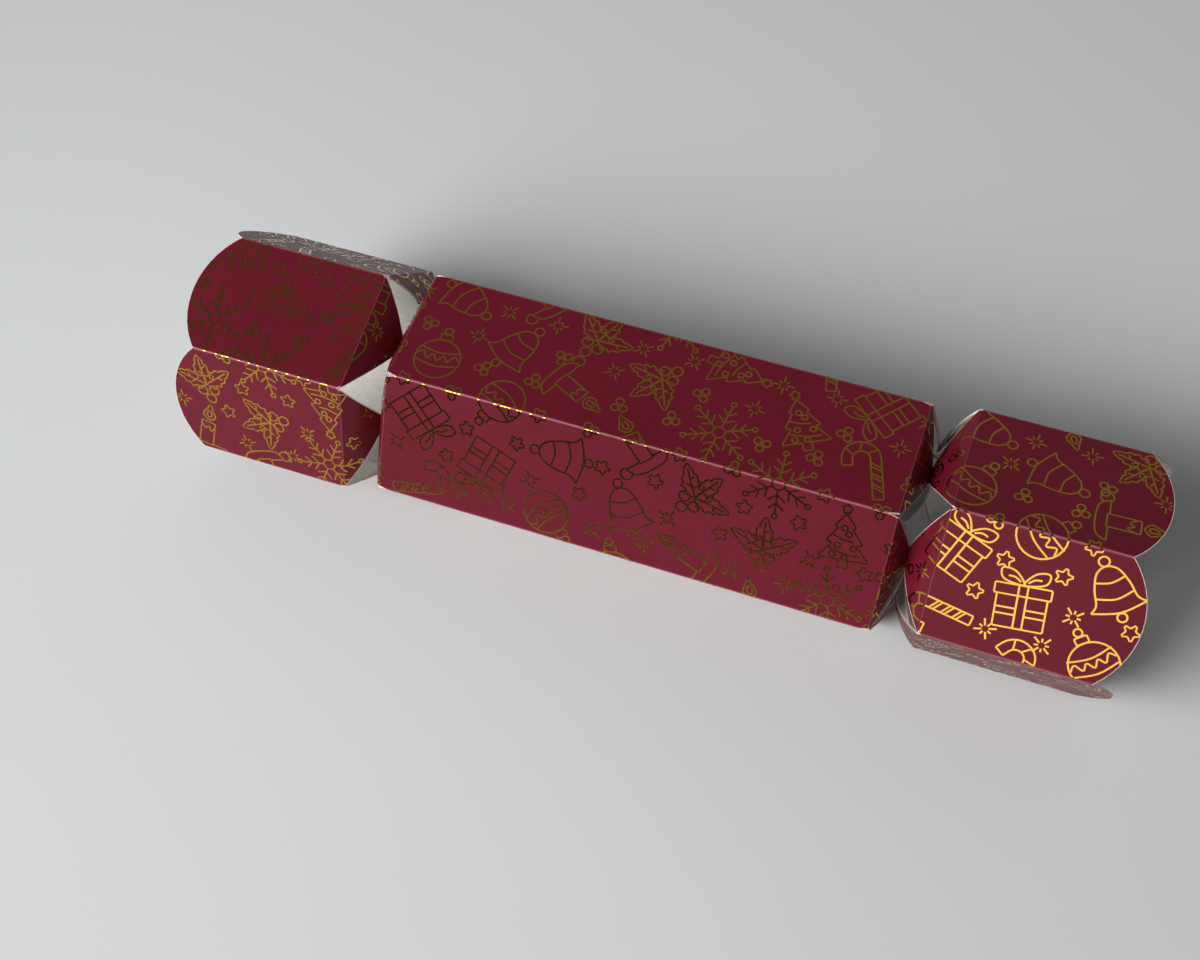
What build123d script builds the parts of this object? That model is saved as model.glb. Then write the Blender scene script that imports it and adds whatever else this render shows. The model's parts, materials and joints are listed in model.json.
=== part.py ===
from build123d import *
import os
from math import acos, atan2, cos, degrees, hypot, radians, sqrt, tan

# Christmas cracker of folded card: a six-sided barrel, two pinched necks and two scalloped
# tails, with the snap, paper hat, motto and gift inside. Millimetres, +Z up, X along the
# cracker, origin on its axis at mid-length. The barrel lies on its flat bottom panel.

# Card blank
PANEL_WIDTH = 32.0
CARD = 0.45
CREASE_GAP = 0.1
BARREL_LENGTH = 126.0
TAIL_LENGTH = 40.3
TIP_RISE = 6.6
LEFT_TWIST = 12.0
RIGHT_TWIST = -9.0

# Neck: a row of bow-ties, each two flaps that meet at a small nick
NECK_GAP = 11.0
BARREL_FLAP = 9.8
TAIL_FLAP = 11.4
NICK_WIDTH = 2.4
NICK_GAP = 0.1
CORNER_GAP = 0.6
BARREL_NOTCH = 2.0
TAIL_NOTCH = 0.8

# Glue tabs of the seam
TAB_WIDTH = 9.0
TAB_INSET = 4.0
TAB_END_SLANT = 30.0

# Snap: two card strips that overlap in a paper sleeve
SNAP_WIDTH = 8.0
SNAP_CARD = 0.4
SNAP_OVERLAP = 30.0
SNAP_GLUED = 16.0
SNAP_CLEARANCE = 0.4
PATCH_LENGTH = 14.0
PATCH_COAT = 0.12
PATCH_GAP = 0.15
PATCH_MARGIN = 1.0
SLEEVE_LAP = 7.0
SLEEVE_PAPER = 0.15
SLEEVE_CLEARANCE = 0.3

# Folded paper hat on the bottom panel
HAT_SIDE_ROOM = 2.0
HAT_END_ROOM = 12.0
HAT_POINT = 13.0
HAT_LAYERS = 4
TISSUE = 0.3
TISSUE_GAP = 0.25

# Motto slip on the hat
MOTTO_LENGTH = 82.0
MOTTO_WIDTH = 23.0
MOTTO_PAPER = 0.2
MOTTO_PLACE = -4.0

# Gift: a turned wooden spinning top that lies on the slip
TOP_RADIUS = 9.0
TOP_RIM = 3.0
TOP_CONE = 9.0
TOP_SHOULDER = 3.0
STEM_RADIUS = 1.7
STEM_LENGTH = 11.0
STEM_ROUND = 0.6
TIP_RADIUS = 0.9
TOP_PLACE = 8.0
TOP_SEAT_GAP = 0.15

# Worked out from the sizes above
SIDES = ("top", "front_upper", "front_lower", "bottom", "back_lower", "back_upper")
TURN = 360.0 / len(SIDES)
HALF_TURN = radians(TURN / 2)
APOTHEM = PANEL_WIDTH / 2 / tan(HALF_TURN)
INNER_APOTHEM = APOTHEM - CARD
BARREL_END = BARREL_LENGTH / 2
TAIL_START = BARREL_END + NECK_GAP
BARREL_REACH = (NECK_GAP**2 + BARREL_FLAP**2 - TAIL_FLAP**2) / (2 * NECK_GAP)
TAIL_REACH = NECK_GAP - BARREL_REACH
WAIST = BARREL_END + BARREL_REACH
WAIST_APOTHEM = INNER_APOTHEM - sqrt(BARREL_FLAP**2 - BARREL_REACH**2)
CREASE_HALF = PANEL_WIDTH / 2 - CORNER_GAP
SEAM_SIDE = SIDES.index("back_lower")
SNAP_SIDE = SIDES.index("back_upper")
HAT_WIDTH = 2 * (INNER_APOTHEM * tan(HALF_TURN) - HAT_SIDE_ROOM)
HAT_LENGTH = BARREL_LENGTH - 2 * HAT_END_ROOM
HAT_HEIGHT = HAT_LAYERS * TISSUE + (HAT_LAYERS - 1) * TISSUE_GAP
BOTTOM_INSIDE = -INNER_APOTHEM
HAT_TOP = BOTTOM_INSIDE + HAT_HEIGHT
MOTTO_TOP = HAT_TOP + MOTTO_PAPER
TWISTS = {"left": LEFT_TWIST, "right": RIGHT_TWIST}
ENDS = {"left": -1, "right": 1}


def half_width(radius):
    """Half the room between two mitred creases, at this distance from the axis."""
    return radius * tan(HALF_TURN) - CREASE_GAP / 2 / cos(HALF_TURN)


def outline(points):
    """A flat face in the XY plane through these corners."""
    return make_face(Polyline(*points, close=True))


def mitred_panel(face, start, length):
    """Top panel cut to a flat outline, with long edges mitred to its neighbours."""
    section = Plane.YZ.offset(start) * outline([
        (-half_width(APOTHEM), APOTHEM),
        (half_width(APOTHEM), APOTHEM),
        (half_width(INNER_APOTHEM), INNER_APOTHEM),
        (-half_width(INNER_APOTHEM), INNER_APOTHEM),
    ])
    bar = extrude(section, amount=length)
    plate = extrude(Pos(Z=INNER_APOTHEM - CARD) * face, amount=3 * CARD)
    return bar & plate


def barrel_panel():
    """Long panel; narrow notches relieve its four corners."""
    side = PANEL_WIDTH / 2
    straight = BARREL_END - BARREL_NOTCH
    face = outline([
        (-BARREL_END, -CREASE_HALF),
        (-straight, -side),
        (straight, -side),
        (BARREL_END, -CREASE_HALF),
        (BARREL_END, CREASE_HALF),
        (straight, side),
        (-straight, side),
        (-BARREL_END, CREASE_HALF),
    ])
    return mitred_panel(face, -BARREL_END, BARREL_LENGTH)


def tail_panel():
    """Panel of the right-hand tail: notched corners at the neck, a round tip outside."""
    side = PANEL_WIDTH / 2
    tip_start = TAIL_START + TAIL_LENGTH
    straight = TAIL_START + TAIL_NOTCH
    edge = Polyline(
        (tip_start, side),
        (straight, side),
        (TAIL_START, CREASE_HALF),
        (TAIL_START, -CREASE_HALF),
        (straight, -side),
        (tip_start, -side),
    )
    tip = ThreePointArc((tip_start, -side), (tip_start + TIP_RISE, 0), (tip_start, side))
    face = make_face([edge, tip])
    return mitred_panel(face, TAIL_START, TAIL_LENGTH + TIP_RISE)


def neck_flap(crease, way, slant, reach, skew):
    """Triangular flap of this slant, folded in from a crease to reach the waist.

    way is +1 where the flap points along +X and -1 where it points back. skew moves its
    nick sideways, so that the two flaps of a bow-tie meet where the tail is twisted.
    """
    nick = NICK_WIDTH / 2
    base = CREASE_GAP
    base_half = CREASE_HALF - base * (CREASE_HALF - nick) / slant
    past_waist = slant + CARD
    flat = outline([
        (base * way, -base_half),
        (base * way, base_half),
        (slant * way, skew + nick),
        (past_waist * way, skew + nick),
        (past_waist * way, skew - nick),
        (slant * way, skew - nick),
    ])
    plate = extrude(flat, amount=CARD)
    fold_angle = degrees(acos(reach / slant))
    folded = Pos(crease, 0, INNER_APOTHEM) * Rot(Y=fold_angle * way) * plate
    depth = reach - NICK_GAP / 2
    this_side = Pos(crease + way * depth / 2) * Box(depth, 2 * PANEL_WIDTH, 4 * APOTHEM)
    return folded & this_side


def nick_skew(twist):
    """Sideways shift of a barrel flap's nick, half of what the twist needs."""
    return -WAIST_APOTHEM * tan(radians(twist / 2))


def glue_tab(start, length):
    """Seam tab on the inner face of the top panel, along its +Y edge, with slanted ends."""
    outer = half_width(INNER_APOTHEM)
    slant = TAB_WIDTH * tan(radians(TAB_END_SLANT))
    face = outline([
        (start + TAB_INSET, outer),
        (start + length - TAB_INSET, outer),
        (start + length - TAB_INSET - slant, outer - TAB_WIDTH),
        (start + TAB_INSET + slant, outer - TAB_WIDTH),
    ])
    return extrude(Pos(Z=INNER_APOTHEM) * face, amount=-CARD)


def snap_level(end):
    """Distance of a strip's outer face from the axis; the right strip lies under the left."""
    left_level = WAIST_APOTHEM - SNAP_CLEARANCE
    step = SNAP_CARD + 2 * PATCH_COAT + PATCH_GAP
    return left_level if end == "left" else left_level - step


def strip_section(x, level, turn):
    """Cross-section of a strip at x, with its outer face at this level."""
    rectangle = Pos(0, level - SNAP_CARD / 2) * Rectangle(SNAP_WIDTH, SNAP_CARD)
    return Rot(X=turn) * (Plane.YZ.offset(x) * rectangle)


def snap_strip(end):
    """Strip from the middle of the barrel, over the waist and onto the inside of a tail."""
    way = ENDS[end]
    glued_level = INNER_APOTHEM
    glue_start = TAIL_START + SNAP_CLEARANCE + SNAP_CARD
    bend_start = WAIST + SNAP_CLEARANCE
    level = snap_level(end)
    twist = TWISTS[end]
    sections = [
        strip_section(-way * SNAP_OVERLAP / 2, level, 0),
        strip_section(way * bend_start, level, 0),
        strip_section(way * glue_start, glued_level, twist),
        strip_section(way * (glue_start + SNAP_GLUED), glued_level, twist),
    ]
    return loft(sections, ruled=True)


def snap_patch(end):
    """Friction coat on the facing side of a strip's end."""
    way = ENDS[end]
    level = snap_level(end)
    bottom = level - SNAP_CARD - PATCH_COAT if end == "left" else level
    place = -way * (SNAP_OVERLAP / 2 - PATCH_MARGIN - PATCH_LENGTH / 2)
    width = SNAP_WIDTH - 2 * PATCH_MARGIN
    return Pos(place, 0, bottom + PATCH_COAT / 2) * Box(PATCH_LENGTH, width, PATCH_COAT)


def snap_sleeve():
    """Paper band round both strips, seated on the outer face of the left one."""
    length = SNAP_OVERLAP + 2 * SLEEVE_LAP
    room_top = snap_level("left")
    room_bottom = snap_level("right") - SNAP_CARD - SLEEVE_CLEARANCE
    room_width = SNAP_WIDTH + 2 * SLEEVE_CLEARANCE
    room_height = room_top - room_bottom
    middle = Pos(0, 0, (room_top + room_bottom) / 2)
    band = Box(length, room_width + 2 * SLEEVE_PAPER, room_height + 2 * SLEEVE_PAPER)
    return middle * (band - Box(2 * length, room_width, room_height))


def paper_hat():
    """Tissue crown folded to and fro, with the crown's points at one end."""
    section = Sketch()
    pitch = TISSUE + TISSUE_GAP
    for layer in range(HAT_LAYERS):
        level = TISSUE / 2 + layer * pitch
        section += Pos(0, level) * Rectangle(HAT_WIDTH, TISSUE)
        if layer + 1 < HAT_LAYERS:
            fold = 1 if layer % 2 else -1
            edge = fold * (HAT_WIDTH - TISSUE) / 2
            section += Pos(edge, level + pitch / 2) * Rectangle(TISSUE, pitch)
    packet = extrude(Plane.YZ.offset(-HAT_LENGTH / 2) * section, amount=HAT_LENGTH)
    side = HAT_WIDTH / 2
    end = HAT_LENGTH / 2
    shape = outline([
        (-end, -side),
        (end - HAT_POINT, -side),
        (end, 0),
        (end - HAT_POINT, side),
        (-end, side),
    ])
    return Pos(Z=BOTTOM_INSIDE) * (packet & extrude(shape, amount=HAT_HEIGHT))


def motto_slip():
    """Slip of paper that lies on the hat."""
    place = Pos(MOTTO_PLACE, 0, HAT_TOP + MOTTO_PAPER / 2)
    return place * Box(MOTTO_LENGTH, MOTTO_WIDTH, MOTTO_PAPER)


def spinning_top():
    """Turned top that lies on its rim and its stem's end."""
    neck_height = TOP_CONE + TOP_RIM + TOP_SHOULDER
    stem_end = neck_height + STEM_LENGTH
    profile = Polyline(
        (0, 0),
        (TIP_RADIUS, TIP_RADIUS),
        (TOP_RADIUS, TOP_CONE),
        (TOP_RADIUS, TOP_CONE + TOP_RIM),
        (STEM_RADIUS, neck_height),
        (STEM_RADIUS, stem_end - STEM_ROUND),
        (STEM_RADIUS - STEM_ROUND, stem_end),
        (0, stem_end),
        close=True,
    )
    turned = revolve(Plane.XZ * make_face(profile), axis=Axis.Z)
    rim_height = TOP_CONE + TOP_RIM
    run = stem_end - STEM_ROUND - rim_height
    drop = TOP_RADIUS - STEM_RADIUS
    tilt = degrees(atan2(drop, run))
    reach = hypot(TOP_RADIUS, rim_height) * cos(atan2(rim_height, TOP_RADIUS) - radians(tilt))
    lying = Rot(Y=90 + tilt) * turned
    return Pos(TOP_PLACE, 0, MOTTO_TOP + TOP_SEAT_GAP + reach) * lying


def save(name, shape, turn=0.0):
    """Turn a piece about the cracker's axis and write it as one named part."""
    export_step(Rot(X=turn) * shape, f"parts/{name}.step")


os.makedirs("parts", exist_ok=True)

for index, side in enumerate(SIDES):
    save(f"barrel_panel_{side}", barrel_panel(), index * TURN)
save("barrel_glue_tab", glue_tab(-BARREL_END, BARREL_LENGTH), SEAM_SIDE * TURN)

for end, way in ENDS.items():
    twist = TWISTS[end]
    skew = nick_skew(twist)
    barrel_flap = neck_flap(way * BARREL_END, way, BARREL_FLAP, BARREL_REACH, skew)
    tail_flap = neck_flap(way * TAIL_START, -way, TAIL_FLAP, TAIL_REACH, -skew)
    panel = tail_panel() if way > 0 else mirror(tail_panel(), about=Plane.YZ)
    tab_start = TAIL_START if way > 0 else -TAIL_START - TAIL_LENGTH
    for index, side in enumerate(SIDES):
        turn = index * TURN
        save(f"{end}_barrel_flap_{side}", barrel_flap, turn)
        save(f"{end}_tail_flap_{side}", tail_flap, turn + twist)
        save(f"{end}_tail_panel_{side}", panel, turn + twist)
    save(f"{end}_tail_glue_tab", glue_tab(tab_start, TAIL_LENGTH), SEAM_SIDE * TURN + twist)
    save(f"snap_strip_{end}", snap_strip(end), SNAP_SIDE * TURN)
    save(f"snap_patch_{end}", snap_patch(end), SNAP_SIDE * TURN)

save("snap_sleeve", snap_sleeve(), SNAP_SIDE * TURN)
save("paper_hat", paper_hat())
save("motto_slip", motto_slip())
save("gift_spinning_top", spinning_top())
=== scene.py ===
import json
import math

import bmesh
import bpy
from mathutils import Matrix, Vector

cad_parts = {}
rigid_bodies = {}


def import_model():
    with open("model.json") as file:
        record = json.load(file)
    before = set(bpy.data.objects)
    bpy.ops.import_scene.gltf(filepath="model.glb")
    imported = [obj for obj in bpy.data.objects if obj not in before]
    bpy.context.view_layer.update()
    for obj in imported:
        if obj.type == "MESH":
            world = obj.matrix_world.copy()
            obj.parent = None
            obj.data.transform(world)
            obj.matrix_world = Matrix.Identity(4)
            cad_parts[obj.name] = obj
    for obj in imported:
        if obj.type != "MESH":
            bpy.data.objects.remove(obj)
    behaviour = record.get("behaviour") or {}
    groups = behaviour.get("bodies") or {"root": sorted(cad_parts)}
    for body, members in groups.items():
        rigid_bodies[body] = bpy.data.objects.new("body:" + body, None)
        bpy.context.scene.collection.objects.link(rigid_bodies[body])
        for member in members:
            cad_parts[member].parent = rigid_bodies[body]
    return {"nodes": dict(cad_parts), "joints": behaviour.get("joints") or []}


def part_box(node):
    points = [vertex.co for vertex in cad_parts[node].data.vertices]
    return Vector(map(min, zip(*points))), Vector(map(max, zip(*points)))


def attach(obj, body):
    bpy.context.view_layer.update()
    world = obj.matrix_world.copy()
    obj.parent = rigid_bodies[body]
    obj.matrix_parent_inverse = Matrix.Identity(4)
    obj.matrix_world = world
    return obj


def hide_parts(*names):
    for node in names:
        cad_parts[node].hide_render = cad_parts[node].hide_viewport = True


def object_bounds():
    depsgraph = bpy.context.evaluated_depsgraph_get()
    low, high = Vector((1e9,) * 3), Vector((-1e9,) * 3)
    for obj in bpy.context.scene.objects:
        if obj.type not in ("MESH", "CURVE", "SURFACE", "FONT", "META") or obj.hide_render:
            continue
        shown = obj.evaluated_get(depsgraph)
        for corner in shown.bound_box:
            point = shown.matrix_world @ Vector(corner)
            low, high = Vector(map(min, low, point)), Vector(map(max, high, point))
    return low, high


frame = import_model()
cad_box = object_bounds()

# Christmas cracker of folded card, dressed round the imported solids. Metres, +X along the
# cracker, +Z up. The card is laid out flat first: u runs along the blank from its middle and
# v runs round it from seam to seam, as on the printer's sheet.

MM = 0.001
SIDES = ("top", "front_upper", "front_lower", "bottom", "back_lower", "back_upper")
SEAM = ("bottom", "back_lower")
ENDS = {"left": -1, "right": 1}
JOINTS = {joint["name"]: joint for joint in frame["joints"]}

# Sizes read from the frame
PANEL_LOW, PANEL_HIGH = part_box("barrel_panel_top")
TAIL_LOW, TAIL_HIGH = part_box("right_tail_panel_top")
APOTHEM = PANEL_HIGH.z
CARD = PANEL_HIGH.z - PANEL_LOW.z
BARREL_END = PANEL_HIGH.x
TAIL_START = TAIL_LOW.x
TIP_END = TAIL_HIGH.x
TURN = math.tau / len(SIDES)
PANEL_WIDTH = 2 * APOTHEM * math.tan(TURN / 2)
NECK_GAP = TAIL_START - BARREL_END

# Sizes of the cut blank that the frame doesn't state
TIP_RISE = 6.6 * MM
BARREL_FLAP = 9.8 * MM
TAIL_FLAP = 11.4 * MM
NICK_WIDTH = 2.4 * MM
CORNER_GAP = 0.6 * MM
BARREL_NOTCH = 2.0 * MM
TAIL_NOTCH = 0.8 * MM
SEAM_GAP = 0.2 * MM
CUT_RIM = 0.13 * MM
CREASE_RADIUS = 0.6 * MM
CREASE_STEPS = 3
FLAP_BULGE = {"barrel": 0.4 * MM, "tail": 1.0 * MM}
FLAP_STEPS = 6
TIP_STEPS = 14

# Foil print: its lines, then where the motifs and the fillers between them lie
FOIL_LINE = 0.44 * MM
FOIL_RIDGE = 0.045 * MM
FOIL_SINK = 0.03 * MM
FOIL_FLAT = 0.72
FOIL_CORNER = 0.55
FOIL_FOLD_GAP = 0.01 * MM
FOIL_CUT_GAP = 0.16 * MM
MOTIF_SPACING = 17.5 * MM
MOTIF_JITTER = 0.7 * MM
MOTIF_SEED = 7
# the choice of motif steps on by these from column to column and from row to row
MOTIF_STEPS = (3, 5)
# seed step, then shares of the spacing along and round
FILLER_PLACES = ((10, 0.37, 0.5), (20, 0.63, 0.0))
FILLER_JITTER = 0.3
# strokes that cross lie at slightly different heights, in this many steps of a share of the sink
FOIL_LEVELS = 16
FOIL_LEVEL_STEP = 0.06

# What it holds
HAT_LAYERS = 4
HAT_POINT = 13.0 * MM
HAT_STEPS_ALONG = 40
HAT_STEPS_ACROSS = 12
HAT_FOLD_STEPS = 5
# height, then waves along and across in radians a metre
HAT_WAVES = ((0.10 * MM, 210, 90), (0.06 * MM, 530, -260))
TISSUE = 0.12 * MM
MOTTO_FRAME_INSET = 2.2 * MM
MOTTO_FLAT = 26.0 * MM
MOTTO_CURL = 2.4 * MM
MOTTO_HALF_STEPS = (24, 4)
TOP_TIP = (8.0 * MM, 0.0, -11.3 * MM)
TOP_TILT = math.atan2(7.3, 13.4)
# places along the top from its tip
TOP_RIM = (8.9 * MM, 12.0 * MM)
TOP_RIM_FADE = 0.1 * MM
TOP_LINES = (6.2 * MM, 7.4 * MM)

# Worked out from those
NECK_FLAT = BARREL_FLAP + TAIL_FLAP
TAIL_SHIFT = NECK_FLAT - NECK_GAP
BARREL_REACH = (NECK_GAP**2 + BARREL_FLAP**2 - TAIL_FLAP**2) / (2 * NECK_GAP)
TAIL_REACH = NECK_GAP - BARREL_REACH
HINGE_RADIUS = APOTHEM - CARD
WAIST_RADIUS = HINGE_RADIUS - math.sqrt(BARREL_FLAP**2 - BARREL_REACH**2)
FLAT_HALF = PANEL_WIDTH / 2 - CREASE_RADIUS * math.tan(TURN / 2)
CREASE_HALF = PANEL_WIDTH / 2 - CORNER_GAP

# Limits of the mesh work
SAME_PLACE = 1e-7
MERGE_REACH = 2e-7
SLIVER = 1e-8
CUT_REACH = 1e-9
SHARP_ANGLE = math.radians(30)

# Camera, fitted to the barrel's corners in the photograph
CAMERA_PLACE = (0.0747, -0.2074, 0.3448)
CAMERA_LOOK = (-0.211, 0.4807, -0.8506)
CAMERA_UP = (-0.267, 0.809, 0.5226)
CAMERA_LENS = 48.6
CAMERA_SENSOR = 36.0
CAMERA_NEAR = 0.01

# Floor and light
FLOOR_REACH = 12.0
FLOOR_TONES = ((0.685, 0.70, 0.705), (0.715, 0.73, 0.735))
SURROUND_FRONT = (0.035, 0.035, 0.0357)
SURROUND_BEHIND = (0.28, 0.28, 0.2856)
LAMPS = {
    "front_window": {"place": (-0.62, -0.74, 0.70), "aim": (0.0, 0.06, 0.0), "width": 0.9, "height": 0.6,
                     "power": 3.7, "spread": 70},
    "low_strip": {"place": (0.13, -0.75, 0.25), "aim": (0.1, 0.0, 0.0), "width": 0.36, "height": 0.14,
                  "power": 0.15, "spread": 120},
}


def new_object(name, data):
    """Object in the scene, at the origin."""
    made = bpy.data.objects.new(name, data)
    bpy.context.scene.collection.objects.link(made)
    return made


# Node helpers; each one that adds a node returns its output or outputs

def feed(tree, socket, value):
    """Link a socket to another one, or set its own value."""
    if isinstance(value, bpy.types.NodeSocket):
        tree.links.new(value, socket)
    elif socket.type == "RGBA":
        socket.default_value = (*value, 1.0)
    else:
        socket.default_value = value


def add_node(tree, kind, sockets, **options):
    """Add a node with its options and feed its sockets by name or number."""
    node = tree.nodes.new(kind)
    for name, value in options.items():
        setattr(node, name, value)
    for name, value in sockets.items():
        feed(tree, node.inputs[name], value)
    return node.outputs


def new_material(name):
    """Node material; returns it, its tree and its shader's sockets."""
    material = bpy.data.materials.new(name)
    material.use_nodes = True
    tree = material.node_tree
    return material, tree, tree.nodes["Principled BSDF"].inputs


def new_group(name, inputs, outputs):
    """Shader node group with number sockets: inputs by name and default, outputs by name."""
    group = bpy.data.node_groups.new(name, "ShaderNodeTree")
    for socket_name, default in inputs.items():
        socket = group.interface.new_socket(socket_name, in_out="INPUT", socket_type="NodeSocketFloat")
        socket.default_value = default
    for socket_name in outputs:
        group.interface.new_socket(socket_name, in_out="OUTPUT", socket_type="NodeSocketFloat")
    return group, group.nodes.new("NodeGroupInput").outputs, group.nodes.new("NodeGroupOutput").inputs


def math_node(tree, operation, first, second=0.0, clamp=False):
    """Math node on one or two sockets or numbers."""
    return add_node(tree, "ShaderNodeMath", {0: first, 1: second}, operation=operation, use_clamp=clamp)[0]


def colour_mix(tree, factor, first, second):
    """Mix of two colours, each a socket or a tuple."""
    return add_node(tree, "ShaderNodeMix", {0: factor, 6: first, 7: second}, data_type="RGBA")[2]


def map_range(tree, value, low, high, to_low=0.0, to_high=1.0):
    """Clamped linear map of a socket."""
    sockets = {0: value, 1: low, 2: high, 3: to_low, 4: to_high}
    return add_node(tree, "ShaderNodeMapRange", sockets, clamp=True)[0]


def noise_node(tree, vector, scale, detail=4.0, roughness=0.55):
    """Noise texture on a vector."""
    sockets = {"Vector": vector, "Scale": scale, "Detail": detail, "Roughness": roughness}
    return add_node(tree, "ShaderNodeTexNoise", sockets)[0]


def object_place(tree):
    """Place on the piece, as a vector output."""
    return tree.nodes.new("ShaderNodeTexCoord").outputs["Object"]


def parts_of(tree, vector):
    """X, Y and Z outputs of a vector."""
    return add_node(tree, "ShaderNodeSeparateXYZ", {0: vector})


def sheet_place(tree, uv_map):
    """X and Y outputs of the place on a flat sheet, from a UV map."""
    return parts_of(tree, add_node(tree, "ShaderNodeUVMap", {}, uv_map=uv_map)["UV"])


def stretched(tree, vector, scale):
    """Vector output scaled along its axes."""
    return add_node(tree, "ShaderNodeMapping", {"Vector": vector, "Scale": scale})[0]


def distance_to(tree, along, place):
    """Distance of a socket's value from a place."""
    return math_node(tree, "ABSOLUTE", math_node(tree, "SUBTRACT", along, place))


def paint(tree, shader, factor, first, second):
    """Mix of two colours, put on a shader."""
    colour = colour_mix(tree, factor, first, second)
    feed(tree, shader["Base Color"], colour)
    return colour


def add_bump(tree, height, strength, distance, shader):
    """Bump node from a height to a shader's normal."""
    bump = add_node(tree, "ShaderNodeBump", {"Height": height, "Strength": strength, "Distance": distance})
    feed(tree, shader["Normal"], bump["Normal"])


# Shared effects

def board_grain_group():
    """Fine board surface: long fibres, soft mottling and a height for bump."""
    group, source, target = new_group("board_grain", {"Fibre Scale": 900.0, "Mottle Scale": 60.0},
                                      ("Fibre", "Mottle", "Height"))
    place = object_place(group)
    fibre = noise_node(group, stretched(group, place, (0.35, 1.0, 1.0)), source["Fibre Scale"], 5.0, 0.5)
    mottle = noise_node(group, place, source["Mottle Scale"], 3.0, 0.5)
    height = math_node(group, "ADD", fibre, math_node(group, "MULTIPLY", mottle, 0.6))
    for name, value in (("Fibre", fibre), ("Mottle", mottle), ("Height", height)):
        group.links.new(value, target[name])
    return group


def crease_wear_and_highlight_group():
    """Mask of cracked ink and of a painted highlight along the blank's folds, from the flat layout in the UV
    map.
    """
    group, source, target = new_group(
        "crease_wear_and_highlight", {"Ridge Width": 0.4 * MM, "Neck Width": 0.2 * MM, "Break Up": 0.5}, ("Wear And Highlight",))
    layout = sheet_place(group, "blank")
    panels = math_node(group, "DIVIDE", layout["Y"], PANEL_WIDTH)
    to_fold = math_node(group, "MULTIPLY", math_node(group, "PINGPONG", panels, 0.5), PANEL_WIDTH)
    along = math_node(group, "ABSOLUTE", layout["X"])
    to_neck = math_node(group, "MINIMUM", distance_to(group, along, BARREL_END),
                        distance_to(group, along, BARREL_END + NECK_FLAT))
    ridge = math_node(group, "DIVIDE", to_fold, source["Ridge Width"])
    neck = math_node(group, "DIVIDE", to_neck, source["Neck Width"])
    fade = math_node(group, "SUBTRACT", 1.0, math_node(group, "MINIMUM", ridge, neck), clamp=True)
    flecks = noise_node(group, object_place(group), 420.0, 6.0, 0.7)
    chipped = math_node(group, "SUBTRACT", flecks, 0.5)
    chipped = math_node(group, "MULTIPLY", chipped, source["Break Up"])
    wear_and_highlight = math_node(group, "MULTIPLY", math_node(group, "ADD", fade, chipped), fade, clamp=True)
    group.links.new(wear_and_highlight, target["Wear And Highlight"])
    return group


BOARD_GRAIN = board_grain_group()
CREASE_WEAR_AND_HIGHLIGHT = crease_wear_and_highlight_group()


# Materials

# the part of the noise's range in which most of it lies
GRAIN_SPAN = (0.3, 0.7)


def grained(name, fibre, mottle, lead, dark, pale, rough, bump=None, span=GRAIN_SPAN):
    """Material on the board grain; returns it, its tree, shader, grain outputs and colour.

    fibre and mottle are the grain's scales. The lead output mixes the two colours over a span, and
    the other output moves the roughness between two values. bump is its strength and distance.
    """
    material, tree, shader = new_material(name)
    scales = {"Fibre Scale": fibre, "Mottle Scale": mottle}
    grain = add_node(tree, "ShaderNodeGroup", scales, node_tree=BOARD_GRAIN)
    colour = paint(tree, shader, map_range(tree, grain[lead], *span), dark, pale)
    other = "Fibre" if lead == "Mottle" else "Mottle"
    feed(tree, shader["Roughness"], map_range(tree, grain[other], *GRAIN_SPAN, *rough))
    if bump:
        add_bump(tree, grain["Height"], *bump, shader)
    return material, tree, shader, grain, colour


def burgundy_print():
    """Satin burgundy print on board; along the folds it turns pink, partly cracked ink and partly a painted
    highlight of the rounded crease.
    """
    material, tree, shader, _, ink = grained(
        "burgundy_print", fibre=1400.0, mottle=45.0, lead="Mottle", dark=(0.118, 0.0045, 0.0142),
        pale=(0.138, 0.0058, 0.018), rough=(0.36, 0.44), bump=(0.10, 0.06 * MM))
    creases = {"Ridge Width": 0.6 * MM, "Neck Width": 0.07 * MM, "Break Up": 0.8}
    wear_and_highlight = add_node(tree, "ShaderNodeGroup", creases, node_tree=CREASE_WEAR_AND_HIGHLIGHT)
    # the pink along the folds is partly cracked ink and partly a painted highlight of the rounded crease
    worn_and_highlit = math_node(tree, "MULTIPLY", wear_and_highlight["Wear And Highlight"], 0.6)
    paint(tree, shader, worn_and_highlit, ink, (0.60, 0.21, 0.24))
    shader["Specular IOR Level"].default_value = 0.22
    return material


def gold_foil():
    """Hot-stamped gold foil: bright metal, a little uneven where it took the board's grain."""
    material, _, shader, _, _ = grained(
        "gold_foil", fibre=1800.0, mottle=120.0, lead="Mottle", dark=(0.44, 0.238, 0.038),
        pale=(0.54, 0.298, 0.050), rough=(0.07, 0.13), bump=(0.12, 0.05 * MM))
    shader["Metallic"].default_value = 1.0
    return material


def manila_card():
    """Buff card of the snap strips, with darker flecks."""
    material, tree, shader, grain, buff = grained(
        "manila_card", fibre=1500.0, mottle=260.0, lead="Fibre", dark=(0.46, 0.31, 0.17),
        pale=(0.60, 0.44, 0.27), rough=(0.68, 0.85), bump=(0.3, 0.06 * MM), span=(0.35, 0.65))
    flecks = map_range(tree, grain["Mottle"], 0.62, 0.7)
    paint(tree, shader, flecks, buff, (0.30, 0.18, 0.09))
    return material


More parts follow.
